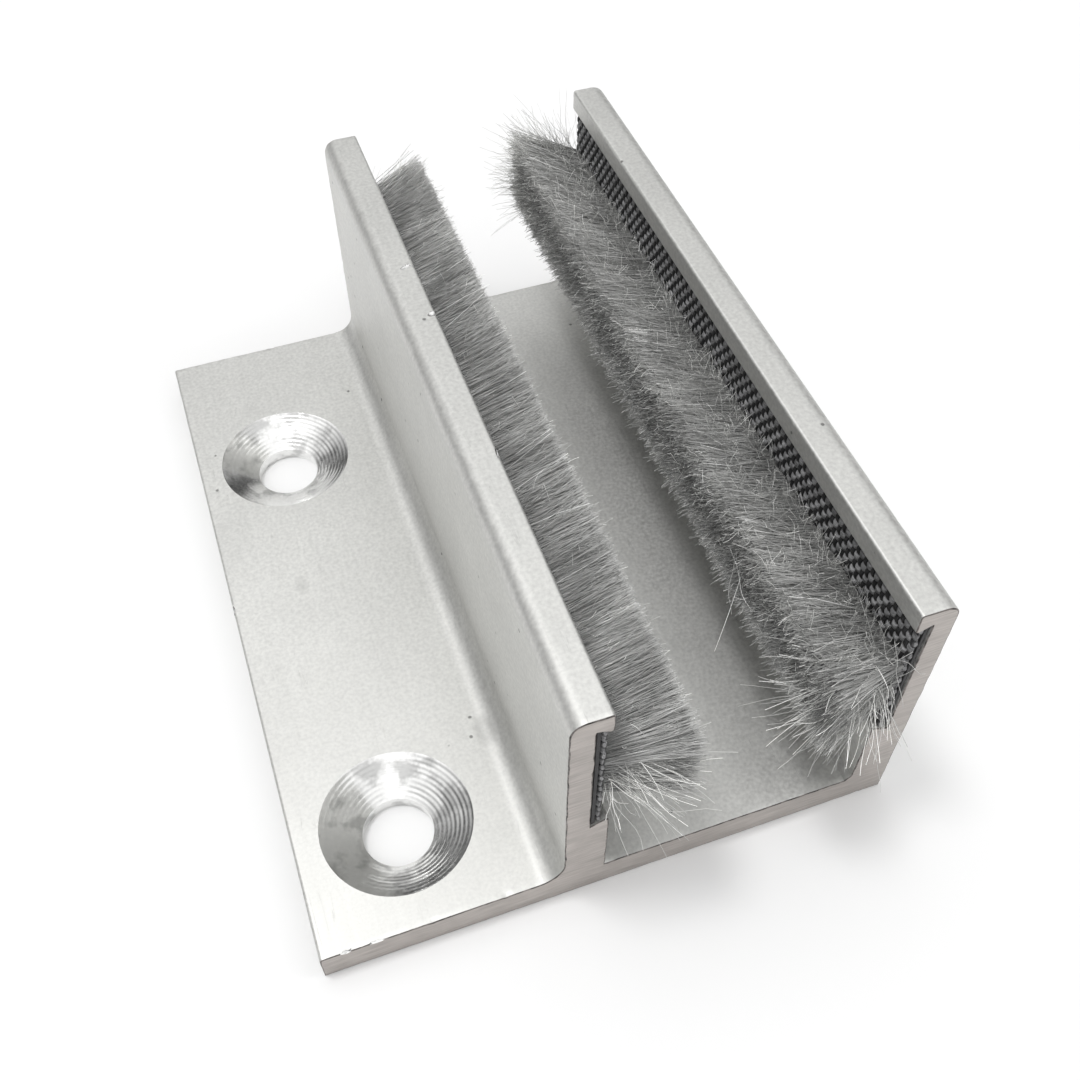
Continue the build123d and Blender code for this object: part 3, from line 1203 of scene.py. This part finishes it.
def strands_mesh(name, side, tuft, seed):
    """All the filaments of one tuft as thin lines, with a shade for each."""
    _, count, runs, alongs, acrosses, aim, spread, lengths, curl, _ = tuft
    chance = random.Random(seed)
    face = root_band(side)[0]
    points = []
    edges = []
    tones = []
    for _ in range(count):
        shares = [chance.uniform(*limits) for limits in (runs, alongs, acrosses)]
        root = pile_place(side, *shares)
        aims = [part + chance.gauss(0, spread) for part in aim]
        heading = Vector((aims[0] * REACH[side], aims[1], aims[2])).normalized()
        length_now = chance.uniform(*lengths) * MM
        line = strand_points(root, heading, length_now, curl * MM, face, REACH[side], chance)
        first = len(points)
        points += line
        edges += [(first + i, first + i + 1) for i in range(len(line) - 1)]
        tones += [chance.random()] * len(line)
    mesh = bpy.data.meshes.new(name)
    mesh.from_pydata(points, edges, [])
    mesh.attributes.new("fibre_tone", "FLOAT", "POINT").data.foreach_set("value", tones)
    # Every loose filament counts as outer, so its tip gets painted light.
    mesh.attributes.new("fibre_outer", "FLOAT", "POINT").data.foreach_set("value", [1.0] * len(points))
    return mesh


def strand_tree():
    """Sweeps thin lines into three-sided filaments that narrow to their tips."""
    shape = Shape("Loose filaments")
    radius = shape.ask("Radius")
    taper = shape.ask("Taper")
    material = shape.ask("Material", "Material")
    lines = shape.add("GeometryNodeMeshToCurve", {"Mesh": shape.geometry()})
    run = shape.add("GeometryNodeSplineParameter")
    lines = shape.add("GeometryNodeStoreNamedAttribute", {0: lines, 2: "fibre_run", 3: run})
    ring = shape.add("GeometryNodeCurvePrimitiveCircle", {"Resolution": 3, "Radius": radius})
    narrow = run.fit(0.0, 1.0, 1.0, taper)
    tubes = {"Curve": lines, "Profile Curve": ring, "Scale": narrow, "Fill Caps": True}
    tubes = shape.add("GeometryNodeCurveToMesh", tubes)
    tubes = shape.add("GeometryNodeRealizeInstances", {0: tubes})
    tubes = shape.add("GeometryNodeSetShadeSmooth", {"Geometry": tubes})
    shape.give(shape.add("GeometryNodeSetMaterial", {"Geometry": tubes, "Material": material}))
    return shape


def build_strands(settings):
    """The loose filaments of both strips: fuzz, end tufts and curls."""
    tree = strand_tree()
    # Paler, with many pale filaments and lighter tips: painted light on the loose filaments, with painted
    # shade at their roots.
    material = fibre_material("loose_filaments_painted_light", settings.finish.lit_strand, 0.75, (1.0, 1.15), 0.3)
    for seed, tuft in enumerate(TUFTS):
        name = tuft[0]
        side = name.split("_")[0]
        lines = strands_mesh(f"{name}_lines", side, tuft, seed)
        values = {"Radius": tuft[-1] * MM, "Taper": settings.pile.taper, "Material": material}
        settle(run_tree(tree, name, lines, values), f"{side}_strip", "pile", f"{side}_pile")


# ---------------------------------------------------------------- the resin backs


def finish_coatings(settings):
    """The resin film on each strip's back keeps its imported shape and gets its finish."""
    material = resin_material(settings.finish)
    for side in SIDES:
        frame["nodes"][f"{side}_back_coating"].material_slots[0].material = material


# ---------------------------------------------------------------- the stage


def add_lamp(name, direction, distance, size, power, target):
    """A round soft lamp that looks at the target."""
    data = bpy.data.lights.new(name, "AREA")
    data.shape = "DISK"
    data.size = size
    data.energy = power
    lamp = bpy.data.objects.new(name, data)
    bpy.context.scene.collection.objects.link(lamp)
    back = Vector(direction).normalized()
    lamp.location = target + back * distance
    lamp.rotation_euler = (-back).to_track_quat("-Z", "Y").to_euler()


def build_stage(settings):
    """The floor, the soft lamps, the sky and the camera."""
    stage = settings.stage
    low, high = (Vector(corner) for corner in CAD_BOX)
    middle = (low + high) / 2
    reach = 3.0
    mesh = bpy.data.meshes.new("floor")
    corners = [(-reach, -reach), (reach, -reach), (reach, reach), (-reach, reach)]
    mesh.from_pydata([(x, y, low.z - 0.02 * MM) for x, y in corners], [], [(0, 1, 2, 3)])
    mesh.materials.append(floor_material(settings.finish))
    floor = bpy.data.objects.new("floor", mesh)
    bpy.context.scene.collection.objects.link(floor)

    add_lamp("key", (-0.2, 0.08, 0.98), 0.6, 0.13, stage.key_power, middle)
    add_lamp("fill", (-0.25, -0.8, 0.6), 0.9, 0.7, stage.fill_power, middle)
    add_lamp("side", (0.75, -0.25, 0.75), 0.7, 0.2, stage.side_power, middle)

    world = bpy.data.worlds.new("studio")
    world.use_nodes = True
    graph = Graph(world.node_tree)
    up = graph.add("ShaderNodeTexCoord")["Generated"].parts()[2]
    strength = up.fit(0.25, 0.85, stage.horizon, stage.zenith)
    graph.plug(world.node_tree.nodes["Background"].inputs["Strength"], strength)
    graph.plug(world.node_tree.nodes["Background"].inputs["Color"], (1.0, 1.0, 1.0, 1.0))
    bpy.context.scene.world = world

    data = bpy.data.cameras.new("camera")
    data.lens = stage.lens
    data.sensor_width = 36.0
    data.clip_start = 0.001
    camera = bpy.data.objects.new("camera", data)
    bpy.context.scene.collection.objects.link(camera)
    camera.location = (-0.017536, -0.063835, 0.088463)
    camera.rotation_euler = (0.6608, 0.0017, -0.3423)
    bpy.context.scene.camera = camera
    bpy.context.scene.view_settings.view_transform = "Standard"


# ---------------------------------------------------------------- operators, panel and registration


class FLOORGUIDE_OT_profile(bpy.types.Operator):
    """Make the extruded profile with its sawn ends and countersinks"""

    bl_idname = "floor_guide.profile"
    bl_label = "Extruded profile"

    def execute(self, context):
        build_profile(context.scene.floor_guide)
        return {"FINISHED"}


class FLOORGUIDE_OT_coatings(bpy.types.Operator):
    """Finish the resin film on the strips' backs"""

    bl_idname = "floor_guide.coatings"
    bl_label = "Resin backs"

    def execute(self, context):
        finish_coatings(context.scene.floor_guide)
        return {"FINISHED"}


class FLOORGUIDE_OT_weaves(bpy.types.Operator):
    """Weave the backing of each brush strip"""

    bl_idname = "floor_guide.weaves"
    bl_label = "Woven backings"

    def execute(self, context):
        build_weaves(context.scene.floor_guide)
        return {"FINISHED"}


class FLOORGUIDE_OT_piles(bpy.types.Operator):
    """Plant the pile of each brush strip"""

    bl_idname = "floor_guide.piles"
    bl_label = "Cut pile"

    def execute(self, context):
        build_piles(context.scene.floor_guide)
        return {"FINISHED"}


class FLOORGUIDE_OT_strands(bpy.types.Operator):
    """Make the loose filaments of both strips"""

    bl_idname = "floor_guide.strands"
    bl_label = "Loose filaments"

    def execute(self, context):
        build_strands(context.scene.floor_guide)
        return {"FINISHED"}


class FLOORGUIDE_OT_stage(bpy.types.Operator):
    """Set up the floor, the lamps and the camera"""

    bl_idname = "floor_guide.stage"
    bl_label = "Stage"

    def execute(self, context):
        build_stage(context.scene.floor_guide)
        return {"FINISHED"}


OPERATORS = (
    FLOORGUIDE_OT_profile,
    FLOORGUIDE_OT_coatings,
    FLOORGUIDE_OT_weaves,
    FLOORGUIDE_OT_piles,
    FLOORGUIDE_OT_strands,
    FLOORGUIDE_OT_stage,
)


class FLOORGUIDE_PT_panel(bpy.types.Panel):
    """Lists the steps that build the floor guide"""

    bl_idname = "FLOORGUIDE_PT_panel"
    bl_label = "Floor guide"
    bl_space_type = "VIEW_3D"
    bl_region_type = "UI"
    bl_category = "Floor guide"

    def draw(self, context):
        for operator in OPERATORS:
            self.layout.operator(operator.bl_idname)


SETTINGS = (FinishSettings, ProfileSettings, WeaveSettings, PileSettings, StageSettings, FloorGuideSettings)


def register():
    for kind in (*SETTINGS, *OPERATORS, FLOORGUIDE_PT_panel):
        bpy.utils.register_class(kind)
    bpy.types.Scene.floor_guide = PointerProperty(type=FloorGuideSettings)


def unregister():
    del bpy.types.Scene.floor_guide
    for kind in reversed((*SETTINGS, *OPERATORS, FLOORGUIDE_PT_panel)):
        bpy.utils.unregister_class(kind)


def main():
    """Registers the add-on and makes every piece."""
    register()
    for operator in OPERATORS:
        group, name = operator.bl_idname.split(".")
        getattr(getattr(bpy.ops, group), name)()


if __name__ == "__main__":
    main()
